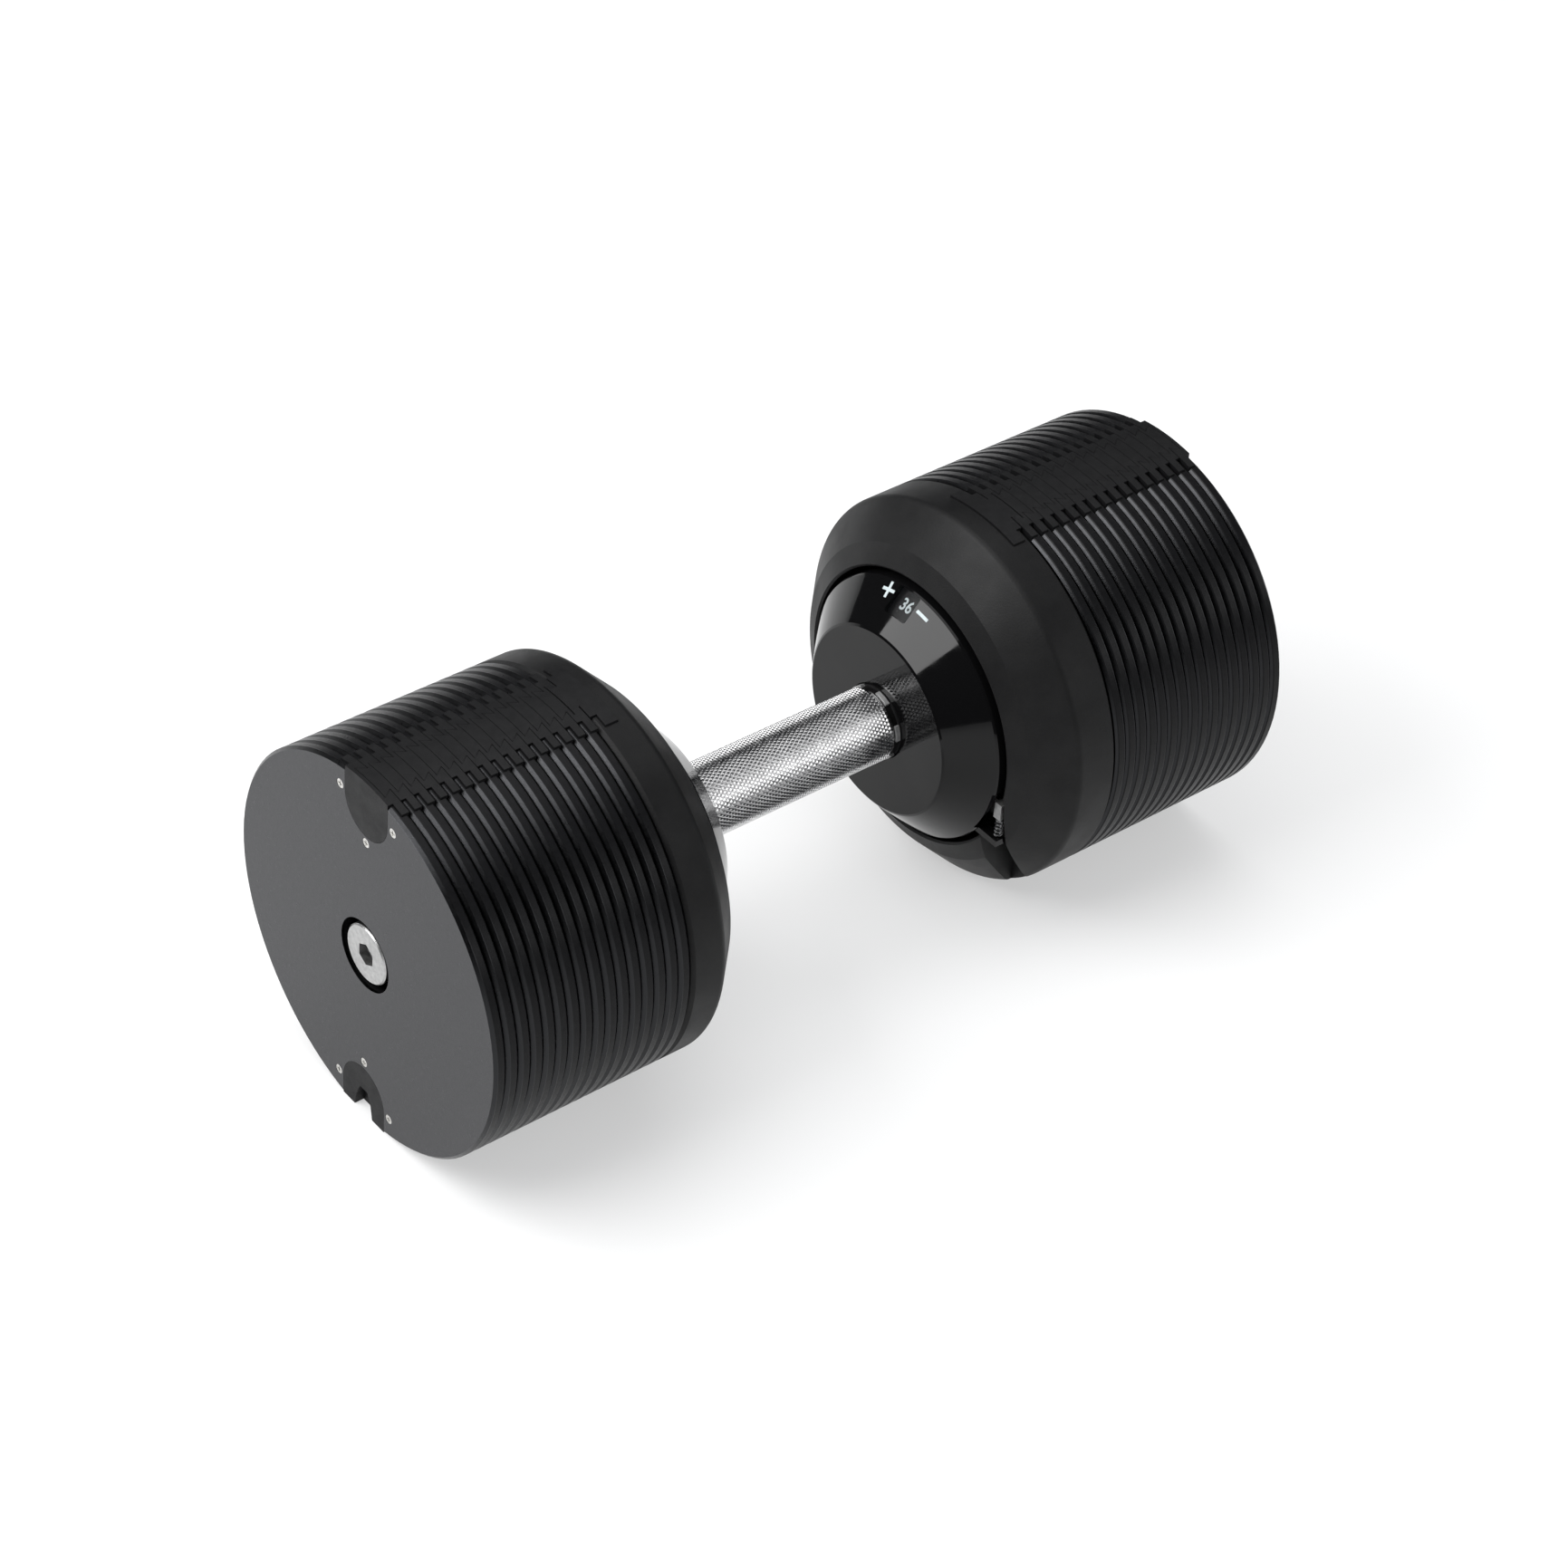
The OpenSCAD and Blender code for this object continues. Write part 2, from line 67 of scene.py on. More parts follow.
def add(material, kind, into, **settings):
    """Adds a node to a material or a world. Settings are its properties, and into sets or links its inputs."""
    node = material.node_tree.nodes.new("ShaderNode" + kind)
    for name, value in settings.items():
        setattr(node, name, value)
    for name, value in into.items():
        if isinstance(value, bpy.types.NodeSocket):
            material.node_tree.links.new(value, node.inputs[name])
        else:
            node.inputs[name].default_value = value
    return node


room = bpy.data.worlds.new("room")
bpy.context.scene.world = room
room.use_nodes = True
ray = add(room, "LightPath", {}).outputs
dark = add(room, "Background", {"Color": (0.75, 0.8, 0.88, 1), "Strength": 0.03})
pale = add(room, "Background", {"Color": (1, 1, 1, 1), "Strength": 1.0})
soft = add(room, "Background", {"Color": (0.96, 0.98, 1, 1), "Strength": 0.62})
spread = add(room, "MixShader", {0: ray["Is Diffuse Ray"], 1: dark.outputs[0], 2: soft.outputs[0]})
backdrop = add(room, "MixShader", {0: ray["Is Camera Ray"], 1: spread.outputs[0], 2: pale.outputs[0]})
room.node_tree.links.new(backdrop.outputs[0], room.node_tree.nodes["World Output"].inputs["Surface"])

FLOOR_HALF = 9
floor_corners = [(x * FLOOR_HALF, y * FLOOR_HALF, 0) for x, y in ((-1, -1), (1, -1), (1, 1), (-1, 1))]
floor_mesh = bpy.data.meshes.new("floor")
floor_mesh.from_pydata(floor_corners, [], [(0, 1, 2, 3)])
floor = bpy.data.objects.new("floor", floor_mesh)
bpy.context.scene.collection.objects.link(floor)
floor_white = bpy.data.materials.new("floor_white")
floor_white.use_nodes = True
floor_shader = floor_white.node_tree.nodes["Principled BSDF"]
floor_shader.inputs["Base Color"].default_value = (0.4, 0.4, 0.4, 1)
floor_shader.inputs["Roughness"].default_value = 0.9
floor_shader.inputs["Specular IOR Level"].default_value = 0.1
floor_shader.inputs["Emission Color"].default_value = (1, 1, 1, 1)
floor_shader.inputs["Emission Strength"].default_value = 0.46
floor_mesh.materials.append(floor_white)


def soft_box(name, at, towards, width, height, watts):
    """A rectangular soft box at one point that faces another."""
    lamp = bpy.data.lights.new(name, "AREA")
    lamp.shape = "RECTANGLE"
    lamp.size, lamp.size_y = width, height
    lamp.energy = watts
    stand = bpy.data.objects.new(name, lamp)
    stand.location = at
    stand.rotation_euler = (Vector(towards) - Vector(at)).to_track_quat("-Z", "Y").to_euler()
    bpy.context.scene.collection.objects.link(stand)


soft_box("overhead", (0.1, 0.5, 2.4), (0.05, 0.1, 0.0), 2.8, 2.4, 40)
soft_box("end_panel", (-1.03, 0.47, 1.25), (0.06, 0.0, 0.14), 1.4, 0.85, 30)
soft_box("front_strip", (0.95, -1.45, 0.85), (0.0, 0.0, 0.08), 1.3, 0.45, 6)

# Thin plates: sixteen steel discs on each side, 172 mm across and 5.5 mm thick, with beveled rims.
# They are turned, blasted and blackened, so the faces are an even satin and the rims have a thin rubbed edge.
# The outward end face of each head also gets a lighter metallic tone, a painted sheen.
PLATES = ["plate_pair_%02d" % k for k in range(1, 17)]


def finish(name, colour, roughness, metallic=0.0, specular=0.5):
    """A new material and its shader, with the values that are the same all over."""
    material = bpy.data.materials.new(name)
    material.use_nodes = True
    shader = material.node_tree.nodes["Principled BSDF"]
    shader.inputs["Base Color"].default_value = (*colour, 1)
    shader.inputs["Roughness"].default_value = roughness
    shader.inputs["Metallic"].default_value = metallic
    shader.inputs["Specular IOR Level"].default_value = specular
    return material, shader


def join(material, output, socket):
    material.node_tree.links.new(output, socket)


def place_of(material):
    return add(material, "TexCoord", {}).outputs["Object"]


def cloud(material, scale, detail, roughness):
    """Noise that stays put on the piece: scale in cells per metre."""
    into = {"Vector": place_of(material), "Scale": scale, "Detail": detail, "Roughness": roughness}
    return add(material, "TexNoise", into).outputs[0]


def grain(material, shader, scale, depth):
    """A fine bump from noise: depth in metres."""
    height = cloud(material, scale, 3.0, 0.6)
    bump = add(material, "Bump", {"Height": height, "Distance": depth, "Strength": 1.0})
    join(material, bump.outputs["Normal"], shader.inputs["Normal"])
    return bump


def uneven(material, socket, scale, low, high):
    """Lets a value wander between low and high over the surface."""
    noise = cloud(material, scale, 4.0, 0.55)
    limits = {"Value": noise, "From Min": 0.3, "From Max": 0.7, "To Min": low, "To Max": high}
    join(material, add(material, "MapRange", limits).outputs["Result"], socket)


def two_shades(material, scale, first, second):
    """A colour that wanders between two shades over the surface."""
    ramp = add(material, "ValToRGB", {"Fac": cloud(material, scale, 4.0, 0.6)})
    ramp.color_ramp.elements[0].position, ramp.color_ramp.elements[1].position = 0.32, 0.68
    ramp.color_ramp.elements[0].color, ramp.color_ramp.elements[1].color = (*first, 1), (*second, 1)
    return ramp.outputs["Color"]


def tint(material, shader, scale, first, second):
    join(material, two_shades(material, scale, first, second), shader.inputs["Base Color"])


def dress(material, *names):
    """Gives a material to CAD nodes whose shape is right as it is."""
    for name in names:
        for held in nodes[name].material_slots:
            held.material = material


blackened, shader = finish("blackened_steel", (0.008, 0.008, 0.009), 0.3, 0.0, 0.09)
uneven(blackened, shader.inputs["Roughness"], 500, 0.27, 0.34)
grain(blackened, shader, 2600, 0.00004)
STACK_X = 0.1093  # where the first plate starts
PITCH = 0.0058
PLATE_HALF = 0.00275  # half the thickness
RUB_START, RUB_FULL = 0.00143, 0.00165  # from a plate's mid plane
END_FACE_FROM, END_FACE_TO = 0.20195, 0.20205
across = add(blackened, "SeparateXYZ", {"Vector": place_of(blackened)}).outputs["X"]
outwards = add(blackened, "Math", {0: across}, operation="ABSOLUTE").outputs[0]
depth = add(blackened, "Math", {0: outwards, 1: STACK_X}, operation="SUBTRACT").outputs[0]
within = add(blackened, "Math", {0: depth, 1: PITCH}, operation="MODULO").outputs[0]
centre = add(blackened, "Math", {0: within, 1: PLATE_HALF}, operation="SUBTRACT").outputs[0]
apart = add(blackened, "Math", {0: centre}, operation="ABSOLUTE").outputs[0]
rub_and_end_sheen_range = add(blackened, "MapRange", {"Value": apart, "From Min": RUB_START, "From Max": RUB_FULL})
rub_and_end_sheen_mask = rub_and_end_sheen_range.outputs["Result"]
black = two_shades(blackened, 420, (0.005, 0.005, 0.0055), (0.0066, 0.0066, 0.0072))
# The outward end face gets a lighter metallic tone than the rubbed bevels: a painted sheen for the light on that
# face.
end_face = add(blackened, "MapRange", {"Value": outwards, "From Min": END_FACE_FROM, "From Max": END_FACE_TO})
bare_and_end_sheen = add(blackened, "MixRGB", {
    "Fac": end_face.outputs["Result"],
    "Color1": (0.027, 0.0275, 0.029, 1), "Color2": (0.046, 0.0465, 0.05, 1)}).outputs[0]
shaded = add(blackened, "MixRGB", {"Fac": rub_and_end_sheen_mask, "Color1": black, "Color2": bare_and_end_sheen})
join(blackened, shaded.outputs[0], shader.inputs["Base Color"])
join(blackened, rub_and_end_sheen_mask, shader.inputs["Metallic"])
dress(blackened, *PLATES)

# Inserts: glass-filled nylon blocks let into the top and the bottom of every plate, each with a dovetail tongue
# that slides into the next one. They are moulded with a fine spark-eroded grain.
nylon, shader = finish("moulded_nylon", (0.006, 0.006, 0.0065), 0.48, 0.0, 0.18)
tint(nylon, shader, 240, (0.005, 0.005, 0.0055), (0.0075, 0.0075, 0.008))
uneven(nylon, shader.inputs["Roughness"], 160, 0.46, 0.58)
grain(nylon, shader, 3400, 0.00005)
dress(nylon, "left_top_inserts", "right_top_inserts", "left_bottom_inserts", "right_bottom_inserts")

# Insert screws: small zinc-plated countersunk screws with a cross recess, three round each insert.
zinc, shader = finish("zinc_plate", (0.62, 0.62, 0.6), 0.34, 1.0)
tint(zinc, shader, 900, (0.5, 0.49, 0.46), (0.72, 0.71, 0.69))
uneven(zinc, shader.inputs["Roughness"], 700, 0.26, 0.44)
grain(zinc, shader, 4200, 0.00002)
dress(zinc, "left_insert_screws", "right_insert_screws", "left_hub_screws", "right_hub_screws")

# Inner weights: thick cast iron discs, coned towards the grip, with a matt black stoved coat.
# The coat follows the fine sand texture of the casting and has a slight orange peel.
coat, shader = finish("stoved_coat", (0.007, 0.007, 0.0073), 0.4, 0.0, 0.17)
tint(coat, shader, 60, (0.0055, 0.0055, 0.0058), (0.0085, 0.0085, 0.0088))
uneven(coat, shader.inputs["Roughness"], 45, 0.42, 0.54)
peel = grain(coat, shader, 1500, 0.00008)
fine = add(coat, "TexNoise", {"Vector": place_of(coat), "Scale": 5200.0, "Detail": 2.0})
sand = add(coat, "Bump", {"Height": fine.outputs[0], "Distance": 0.00003, "Normal": peel.outputs["Normal"]})
join(coat, sand.outputs["Normal"], shader.inputs["Normal"])
dress(coat, "left_inner_weight", "right_inner_weight")

# Hub covers: polished black ABS mouldings, coned like the weights round them, which close the lock's mechanism.
# The gloss is deep, with faint waves from the mould and a few hair-fine handling marks.
gloss, shader = finish("polished_abs", (0.003, 0.003, 0.0032), 0.07, 0.0, 0.22)
uneven(gloss, shader.inputs["Roughness"], 130, 0.045, 0.1)
wave = add(gloss, "TexNoise", {"Vector": place_of(gloss), "Scale": 38.0, "Detail": 1.0})
ripple = add(gloss, "Bump", {"Height": wave.outputs[0], "Distance": 0.00012})
join(gloss, ripple.outputs["Normal"], shader.inputs["Normal"])
dress(gloss, "left_hub_cover", "right_hub_cover")

# Hub bases and grip collars: plain black mouldings behind the covers and round the ends of the drive tube.
inner_black, shader = finish("inner_moulding", (0.01, 0.01, 0.0105), 0.5, 0.0, 0.2)
tint(inner_black, shader, 200, (0.008, 0.008, 0.0085), (0.013, 0.013, 0.0135))
uneven(inner_black, shader.inputs["Roughness"], 220, 0.4, 0.6)
grain(inner_black, shader, 3000, 0.00005)
dress(inner_black, "left_hub_base", "right_hub_base", "left_end_collar", "right_end_collar")

# Dial: a black ring that turns with the grip, coned like the cover over it, with its seventeen weights printed on.
# The number in the window at rest is the heaviest, and each click of twenty degrees brings the next one down.
WINDOW_ANGLE = math.radians(-4.0)
CLICK = math.radians(20.0)
DIAL_BACK = 0.015
FIGURE_HEIGHT = 0.0056
FIGURE_WIDTH = 0.86  # of the letter's own width
FIGURE_R = 0.0520
FIGURE_THICK = 0.00006
HEAVIEST, STEP, SETTINGS = 36, 2, 17
dial_black, shader = finish("dial_moulding", (0.004, 0.004, 0.0045), 0.35, 0.0, 0.2)
uneven(dial_black, shader.inputs["Roughness"], 260, 0.28, 0.42)
grain(dial_black, shader, 3200, 0.00003)
dress(dial_black, "dial_ring")
print_white, shader = finish("print_white", (0.42, 0.47, 0.48), 0.45, 0.0, 0.3)
tint(print_white, shader, 900, (0.38, 0.43, 0.44), (0.46, 0.51, 0.52))
grain(print_white, shader, 3800, 0.00002)


def cone_point(across, along, angle, middle, back, lift):
    """A point drawn flat, wrapped onto a cone of 45 degrees about the grip's axis. Across runs round the cone
    from the top towards the front, along runs up the slope, and lift is the height over the surface."""
    radius = middle + along / math.sqrt(2)
    turned = angle + across / radius
    x = radius + back
    radius, x = radius + lift / math.sqrt(2), x - lift / math.sqrt(2)
    return Vector((x, -radius * math.sin(turned), GRIP_AXIS_Z + radius * math.cos(turned)))


def solid_print(target, outline_faces, outline_points, wrap, thickness):
    """Adds a thin solid print to a bmesh: the flat faces on top, and walls down to the surface."""
    top = [target.verts.new(wrap(x, y, thickness)) for x, y in outline_points]
    foot = [target.verts.new(wrap(x, y, -0.00005)) for x, y in outline_points]
    borders = {}
    for face in outline_faces:
        target.faces.new([top[i] for i in face])
        for a, b in zip(face, face[1:] + face[:1]):
            borders[(a, b)] = borders.get((a, b), 0) + 1
    for a, b in borders:
        if (b, a) not in borders:
            target.faces.new([top[b], top[a], foot[a], foot[b]])


def flat_figure(text, height):
    """The faces and points of a number, centred, cap height as given."""
    curve = bpy.data.curves.new("figure", "FONT")
    curve.body = text
    curve.align_x = "CENTER"
    curve.resolution_u = 3
    curve.offset = 0.018
    shown = bpy.data.objects.new("figure", curve)
    bpy.context.scene.collection.objects.link(shown)
    bpy.context.view_layer.update()
    mesh = bpy.data.meshes.new_from_object(shown.evaluated_get(bpy.context.evaluated_depsgraph_get()))
    points = [(v.co.x, v.co.y) for v in mesh.vertices]
    faces = [list(p.vertices) for p in mesh.polygons]
    bpy.data.objects.remove(shown)
    tall = max(y for x, y in points) - min(y for x, y in points)
    mid_y = (max(y for x, y in points) + min(y for x, y in points)) / 2
    mid_x = (max(x for x, y in points) + min(x for x, y in points)) / 2
    k = height / tall
    return faces, [((x - mid_x) * k * FIGURE_WIDTH, (y - mid_y) * k) for x, y in points]


def piece(name, mesh, material, body):
    """Puts a finished mesh into the scene as a piece that rides on a body."""
    mesh.materials.clear()
    mesh.materials.append(material)
    made = bpy.data.objects.new(name, mesh)
    bpy.context.scene.collection.objects.link(made)
    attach(made, body)
    return made


def print_on_cone(target, flat, angle, middle, back, thickness):
    """Prints a flat outline on the cone at one angle."""
    faces, points = flat
    solid_print(target, faces, points, lambda x, y, h: cone_point(x, y, angle, middle, back, h), thickness)


figures = bmesh.new()
for k in range(SETTINGS):
    number = flat_figure(str(HEAVIEST - STEP * k), FIGURE_HEIGHT)
    print_on_cone(figures, number, WINDOW_ANGLE - k * CLICK, FIGURE_R, DIAL_BACK, FIGURE_THICK)
figures_mesh = bpy.data.meshes.new("dial_figures")
figures.to_mesh(figures_mesh)
piece("dial_figures", figures_mesh, print_white, "grip")

# Dial window and its marks: a clear polycarbonate pane let into the right cover, with a printed plus on the far
# side and a minus on the near side for the way to turn the grip.
clear, shader = finish("clear_pane", (0.01, 0.011, 0.012), 0.05, 0.0, 0.03)
shader.inputs["Alpha"].default_value = 0.07
uneven(clear, shader.inputs["Roughness"], 400, 0.03, 0.08)
dress(clear, "dial_window")
COVER_BACK = 0.010
MARK_STROKE = 0.0014
MARK_THICK = 0.00007
PLUS_SIZE, PLUS_ANGLE, PLUS_R = 0.0072, math.radians(-14.9), 0.0558
MINUS_SIZE, MINUS_ANGLE, MINUS_R = 0.0068, math.radians(7.9), 0.0553


def bar(width, height):
    """A flat bar, cut into strips so that it can be wrapped."""
    points, faces = [], []
    for i in range(9):
        points += [(width * (i / 8 - 0.5), -height / 2), (width * (i / 8 - 0.5), height / 2)]
    for i in range(8):
        faces.append([2 * i, 2 * i + 2, 2 * i + 3, 2 * i + 1])
    return faces, points


def plus(size, stroke):
    """A flat plus sign, as one outline of five squares."""
    a, b = stroke / 2, size / 2
    points = [(-b, -a), (-a, -a), (a, -a), (b, -a), (b, a), (a, a), (-a, a), (-b, a),
              (-a, -b), (a, -b), (a, b), (-a, b)]
    return [[0, 1, 6, 7], [1, 2, 5, 6], [2, 3, 4, 5], [8, 9, 2, 1], [6, 5, 10, 11]], points


marks = bmesh.new()
print_on_cone(marks, plus(PLUS_SIZE, MARK_STROKE), PLUS_ANGLE, PLUS_R, COVER_BACK, MARK_THICK)
print_on_cone(marks, bar(MINUS_SIZE, MARK_STROKE), MINUS_ANGLE, MINUS_R, COVER_BACK, MARK_THICK)
marks_mesh = bpy.data.meshes.new("turn_marks")
marks.to_mesh(marks_mesh)
piece("turn_marks", marks_mesh, print_white, "frame")

# Grip: a hard-chromed steel sleeve with a diamond knurl rolled over its whole length and a chamfer at each end.
# Two sets of fifty-five grooves, at about thirty degrees to the axis, cross and leave blunt four-sided points.
GRIP_R = 0.0162
GRIP_X0, GRIP_X1 = -0.0552, 0.0502
KNURL_DEPTH = 0.0006
KNURL_BLUNT = 0.22  # width of a point's flat top against its foot
CELLS_ALONG, HALF_ROWS = 35, 110
END_CHAMFER, END_PLAIN = 0.0003, 0.0004
BORE_R = 0.01465
VALLEY_R = GRIP_R - KNURL_DEPTH + 0.00004
chrome, shader = finish("hard_chrome", (0.7, 0.7, 0.705), 0.2, 1.0)
tint(chrome, shader, 160, (0.64, 0.64, 0.645), (0.75, 0.75, 0.755))
uneven(chrome, shader.inputs["Roughness"], 300, 0.15, 0.3)
grain(chrome, shader, 5200, 0.000012)


def lathe(name, outline, steps):
    """A closed ring turned about the grip's axis from [x, radius] points that go round its section."""
    target = bmesh.new()
    rings = []
    for i in range(steps):
        a = 2 * math.pi * i / steps
        turned = [(x, -r * math.sin(a), GRIP_AXIS_Z + r * math.cos(a)) for x, r in outline]
        rings.append([target.verts.new(point) for point in turned])
    count = len(outline)
    for i in range(steps):
        one, two = rings[i], rings[(i + 1) % steps]
        for j in range(count):
            target.faces.new([one[j], one[(j + 1) % count], two[(j + 1) % count], two[j]])
    bmesh.ops.recalc_face_normals(target, faces=target.faces)
    mesh = bpy.data.meshes.new(name)
    target.to_mesh(mesh)
    return mesh


def tree_node(tree, kind, into=(), **settings):
    """Adds a geometry or math node to a tree."""
    node = tree.nodes.new(kind)
    for name, value in settings.items():
        setattr(node, name, value)
    for name, value in dict(into).items():
        if isinstance(value, bpy.types.NodeSocket):
            tree.links.new(value, node.inputs[name])
        else:
            node.inputs[name].default_value = value
    return node


def calc(tree, operation, a, b=0.0):
    return tree_node(tree, "ShaderNodeMath", {0: a, 1: b}, operation=operation).outputs[0]


knurling = bpy.data.node_groups.new("knurling", "GeometryNodeTree")
knurling.interface.new_socket("Sleeve", in_out="INPUT", socket_type="NodeSocketGeometry")
for label in ("Radius", "Start", "Cell length", "Depth", "Blunt", "Axis height"):
    knurling.interface.new_socket(label, in_out="INPUT", socket_type="NodeSocketFloat")
for label in ("Cells along", "Rows around"):
    knurling.interface.new_socket(label, in_out="INPUT", socket_type="NodeSocketInt")
knurling.interface.new_socket("Metal", in_out="INPUT", socket_type="NodeSocketMaterial")
knurling.interface.new_socket("Grip", in_out="OUTPUT", socket_type="NodeSocketGeometry")
given = knurling.nodes.new("NodeGroupInput").outputs
around = given["Rows around"]
cell_angle = calc(knurling, "DIVIDE", 2 * math.pi, around)
cell_count = calc(knurling, "MULTIPLY", given["Cells along"], around)
points = tree_node(knurling, "GeometryNodePoints", {"Count": cell_count})
index = tree_node(knurling, "GeometryNodeInputIndex").outputs[0]
row = calc(knurling, "MODULO", index, around)
column = calc(knurling, "FLOOR", calc(knurling, "DIVIDE", index, around))
half = calc(knurling, "MULTIPLY", calc(knurling, "MODULO", row, 2.0), 0.5)
cells_in = calc(knurling, "ADD", calc(knurling, "ADD", column, half), 0.5)
along = calc(knurling, "MULTIPLY", cells_in, given["Cell length"])
turn_angle = calc(knurling, "MULTIPLY", row, cell_angle)
valley = calc(knurling, "SUBTRACT", given["Radius"], given["Depth"])
sideways = calc(knurling, "MULTIPLY", valley, calc(knurling, "SINE", turn_angle))
upwards = calc(knurling, "MULTIPLY", valley, calc(knurling, "COSINE", turn_angle))
spot = tree_node(knurling, "ShaderNodeCombineXYZ", {
    "X": calc(knurling, "ADD", along, given["Start"]),
    "Y": calc(knurling, "MULTIPLY", sideways, -1.0),
    "Z": calc(knurling, "ADD", upwards, given["Axis height"])})
moved = tree_node(knurling, "GeometryNodeSetPosition", {
    "Geometry": points.outputs[0], "Position": spot.outputs[0]})
cell = tree_node(knurling, "GeometryNodeMeshCone", {
    "Vertices": 4, "Radius Top": given["Blunt"], "Radius Bottom": 1.0, "Depth": given["Depth"]}, fill_type="NGON")
cell_width = calc(knurling, "MULTIPLY", valley, cell_angle)
shape = tree_node(knurling, "ShaderNodeCombineXYZ", {
    "X": calc(knurling, "MULTIPLY", given["Cell length"], 0.5), "Y": cell_width, "Z": 1.0})
sized = tree_node(knurling, "GeometryNodeTransform", {"Geometry": cell.outputs["Mesh"], "Scale": shape.outputs[0]})
facing = tree_node(knurling, "ShaderNodeCombineXYZ", {"X": turn_angle})
spread = tree_node(knurling, "GeometryNodeInstanceOnPoints", {
    "Points": moved.outputs[0], "Instance": sized.outputs[0], "Rotation": facing.outputs[0]})
solid_cells = tree_node(knurling, "GeometryNodeRealizeInstances", {"Geometry": spread.outputs[0]})
all_parts = tree_node(knurling, "GeometryNodeJoinGeometry")
knurling.links.new(solid_cells.outputs[0], all_parts.inputs[0])
knurling.links.new(given["Sleeve"], all_parts.inputs[0])
metal = tree_node(knurling, "GeometryNodeSetMaterial", {
    "Geometry": all_parts.outputs[0], "Material": given["Metal"]})
out = knurling.nodes.new("NodeGroupOutput")
knurling.links.new(metal.outputs[0], out.inputs["Grip"])


def run_tree(name, mesh, tree, values):
    """Runs a geometry tree on a mesh with named inputs, and returns the plain mesh that it makes."""
    holder = bpy.data.objects.new(name, mesh)
    modifier = holder.modifiers.new("tree", "NODES")
    modifier.node_group = tree
    for item in tree.interface.items_tree:
        if item.in_out == "INPUT" and item.name in values:
            modifier[item.identifier] = values[item.name]
    bpy.context.scene.collection.objects.link(holder)
    bpy.context.view_layer.update()
    made = bpy.data.meshes.new_from_object(holder.evaluated_get(bpy.context.evaluated_depsgraph_get()))
    holder.modifiers.remove(modifier)
    bpy.data.objects.remove(holder)
    made.name = name
    return made


sleeve = lathe("sleeve", [
    (GRIP_X0, BORE_R), (GRIP_X0, VALLEY_R - END_CHAMFER), (GRIP_X0 + END_CHAMFER, VALLEY_R),
    (GRIP_X1 - END_CHAMFER, VALLEY_R), (GRIP_X1, VALLEY_R - END_CHAMFER), (GRIP_X1, BORE_R)], 2 * HALF_ROWS)
grip_mesh = run_tree("knurled_grip", sleeve, knurling, {
    "Radius": GRIP_R, "Start": GRIP_X0 + END_PLAIN, "Depth": KNURL_DEPTH, "Blunt": KNURL_BLUNT,
    "Cell length": (GRIP_X1 - GRIP_X0 - 2 * END_PLAIN) / (CELLS_ALONG + 0.5), "Axis height": GRIP_AXIS_Z,
    "Cells along": CELLS_ALONG, "Rows around": HALF_ROWS, "Metal": chrome})
grip = piece("knurled_grip", grip_mesh, chrome, "grip")
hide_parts("grip_sleeve")

# Drive: the tube inside the grip, its lugs, the two rods that it winds in, the bar through them and their guides.
# All are turned steel, with fine tool rings round the axis and a thin film of oil.
turned_steel, shader = finish("turned_steel", (0.5, 0.5, 0.51), 0.3, 1.0)
tint(turned_steel, shader, 110, (0.42, 0.42, 0.43), (0.56, 0.56, 0.57))
uneven(turned_steel, shader.inputs["Roughness"], 240, 0.24, 0.38)
rings = add(turned_steel, "TexWave", {
    "Vector": place_of(turned_steel), "Scale": 900.0, "Distortion": 0.6, "Detail": 1.0},
    wave_type="BANDS", bands_direction="X")
ring_bump = add(turned_steel, "Bump", {"Height": rings.outputs[0], "Distance": 0.000015})
join(turned_steel, ring_bump.outputs["Normal"], shader.inputs["Normal"])
dress(turned_steel, "drive_tube", "drive_lugs", "key_bar", "left_rod", "right_rod", "left_rod_guide",
      "right_rod_guide", "left_lock_wheel", "right_lock_wheel", "left_pivot_pin", "right_pivot_pin",
      "detent_plunger")

# Rod caps: bright faced discs with a chamfered edge and a hexagonal socket.
# They are screwed into the outer ends of the rods and close them.
faced, shader = finish("faced_steel", (0.45, 0.45, 0.45), 0.36, 1.0)
tint(faced, shader, 500, (0.38, 0.38, 0.38), (0.5, 0.5, 0.495))
centred = add(faced, "Mapping", {"Vector": place_of(faced), "Location": (0.0, 0.0, -GRIP_AXIS_Z)})
circles = add(faced, "TexWave", {"Vector": centred.outputs[0], "Scale": 1100.0, "Distortion": 1.5, "Detail": 2.0},
              wave_type="RINGS", rings_direction="X")
circle_bump = add(faced, "Bump", {"Height": circles.outputs[0], "Distance": 0.00002})
join(faced, circle_bump.outputs["Normal"], shader.inputs["Normal"])
uneven(faced, shader.inputs["Roughness"], 600, 0.28, 0.44)
dress(faced, "left_rod_cap", "right_rod_cap")

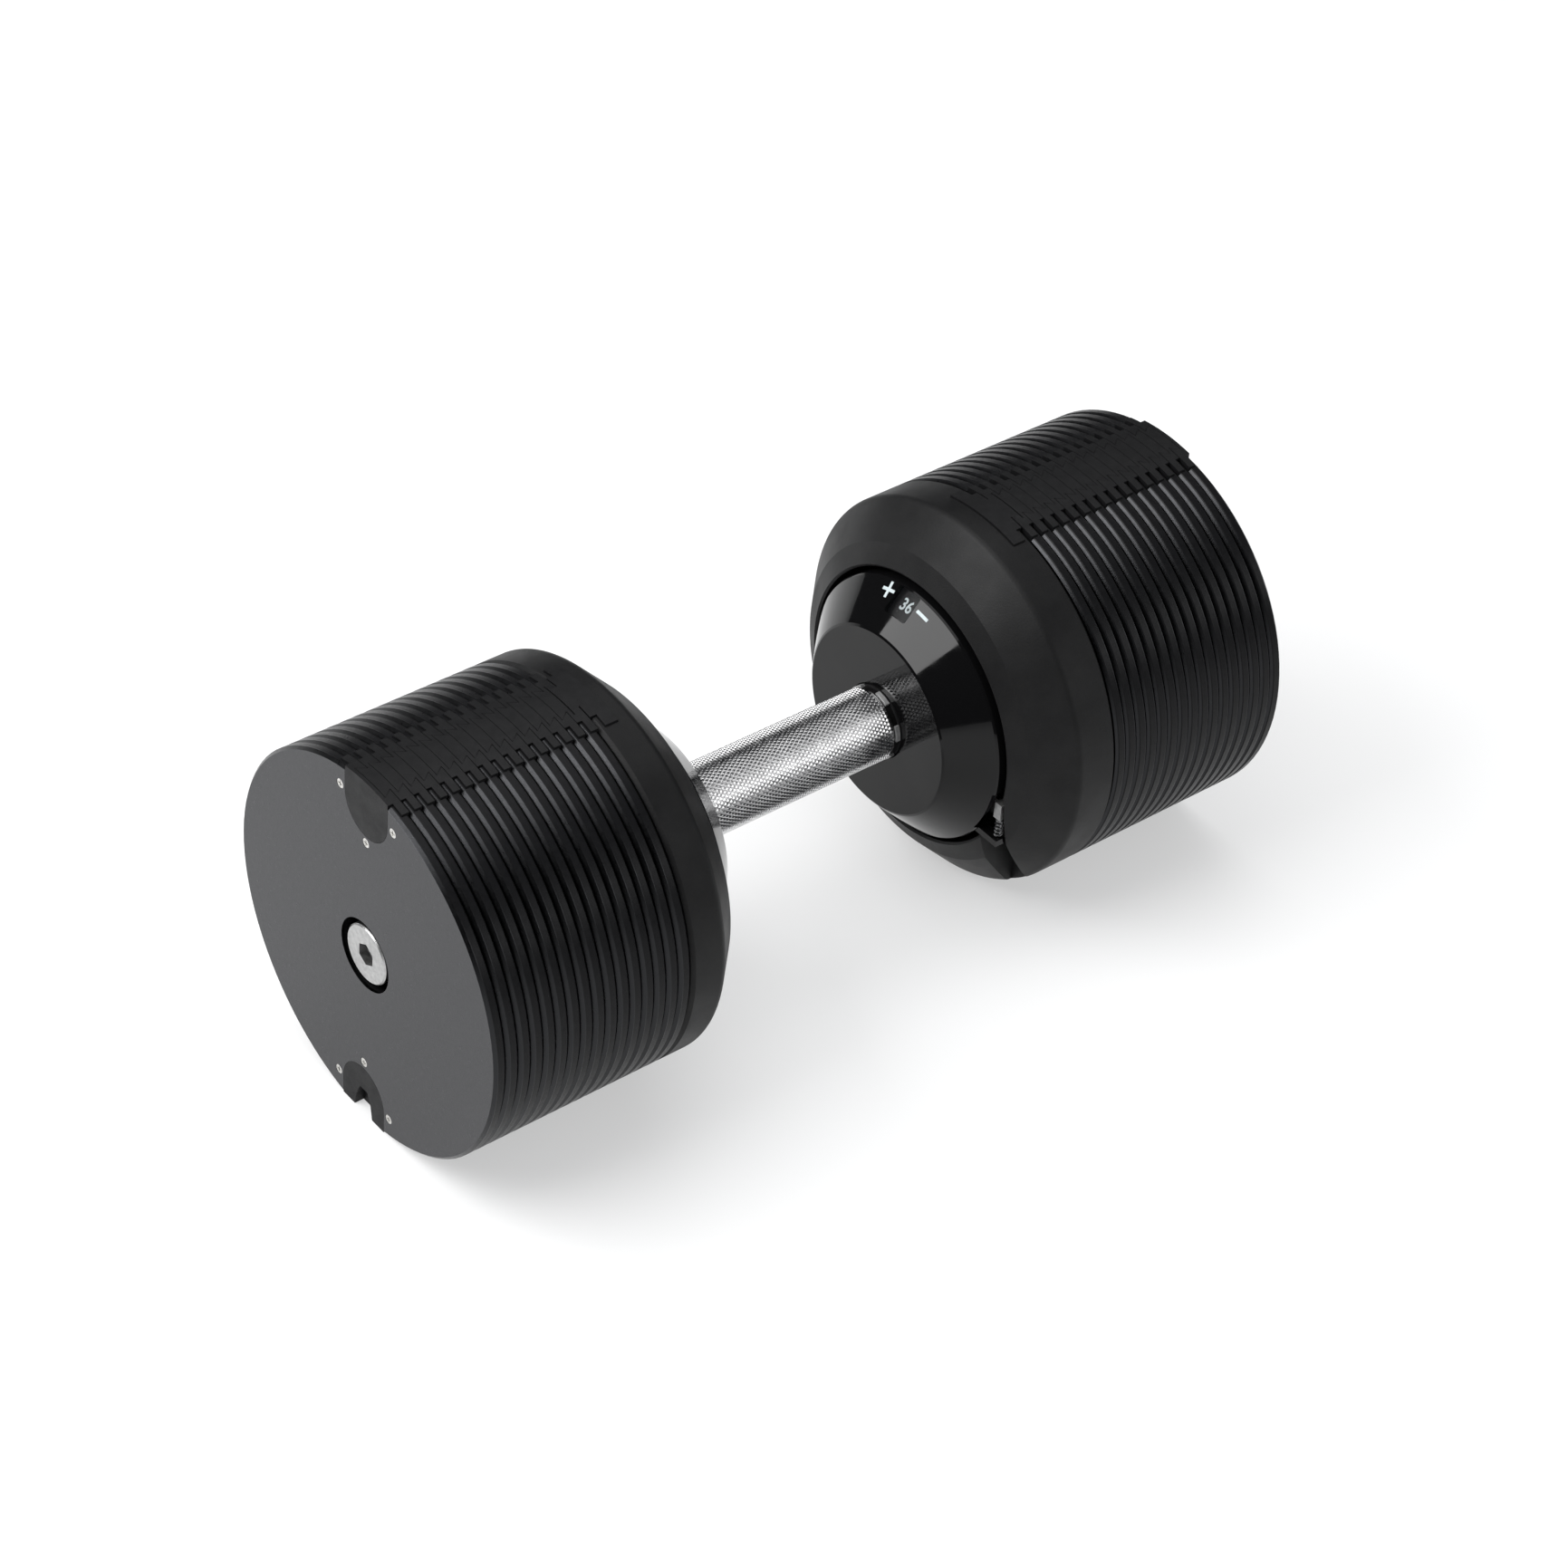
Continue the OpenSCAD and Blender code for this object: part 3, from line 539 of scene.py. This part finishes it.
# Bearings: sintered bronze bushes in the hub bases.
bronze, shader = finish("sintered_bronze", (0.45, 0.3, 0.12), 0.42, 1.0)
tint(bronze, shader, 1200, (0.36, 0.23, 0.1), (0.52, 0.36, 0.16))
uneven(bronze, shader.inputs["Roughness"], 900, 0.34, 0.52)
grain(bronze, shader, 3600, 0.00004)
dress(bronze, "left_bearing", "right_bearing")

# Lock levers and grip clips: stamped steel in light zinc plate. A lever's tab shows in the slot beside the hub,
# and a clip's tabs show in the gap at each end of the grip. A clip's inner ring is painted near-black: painted
# shade for the shadow in the gap where it sits.
CLIP_PAINTED_SHADE_R, CLIP_UNSHADED_R = 0.0153, 0.0155
plated, shader = finish("light_zinc", (0.3, 0.3, 0.3), 0.42, 0.85)
tint(plated, shader, 500, (0.24, 0.24, 0.24), (0.34, 0.34, 0.34))
uneven(plated, shader.inputs["Roughness"], 500, 0.34, 0.52)
grain(plated, shader, 3800, 0.00003)
dress(plated, "left_lock_lever", "right_lock_lever")
clip_steel, shader = finish("clip_steel", (0.4, 0.4, 0.4), 0.42, 0.7)
parts = add(clip_steel, "SeparateXYZ", {"Vector": place_of(clip_steel)}).outputs
height = add(clip_steel, "Math", {0: parts["Z"], 1: GRIP_AXIS_Z}, operation="SUBTRACT").outputs[0]
flat = add(clip_steel, "CombineXYZ", {"Y": parts["Y"], "Z": height}).outputs[0]
reach = add(clip_steel, "VectorMath", {0: flat}, operation="LENGTH").outputs["Value"]
# Inside the first radius the clip's ring is painted near-black, a painted shade for the recess it sits in; outside
# the second radius the tabs keep their plated tone.
beyond_painted_shade = add(clip_steel, "MapRange", {"Value": reach, "From Min": CLIP_PAINTED_SHADE_R, "From Max": CLIP_UNSHADED_R})
shade = two_shades(clip_steel, 500, (0.34, 0.34, 0.34), (0.46, 0.46, 0.46))
clip_tone_with_painted_shade = add(clip_steel, "MixRGB", {
    "Fac": beyond_painted_shade.outputs["Result"], "Color1": (0.01, 0.01, 0.01, 1), "Color2": shade})
join(clip_steel, clip_tone_with_painted_shade.outputs[0], shader.inputs["Base Color"])
grain(clip_steel, shader, 3800, 0.00003)
dress(clip_steel, "left_end_clip", "right_end_clip")

# Springs: coils of bright drawn wire that pull the levers' tabs down and press the detent onto its wheel.
wire, shader = finish("drawn_wire", (0.6, 0.6, 0.61), 0.26, 1.0)
tint(wire, shader, 1500, (0.5, 0.5, 0.51), (0.68, 0.68, 0.69))
uneven(wire, shader.inputs["Roughness"], 1200, 0.2, 0.36)
dress(wire, "left_lock_spring", "right_lock_spring", "detent_spring")
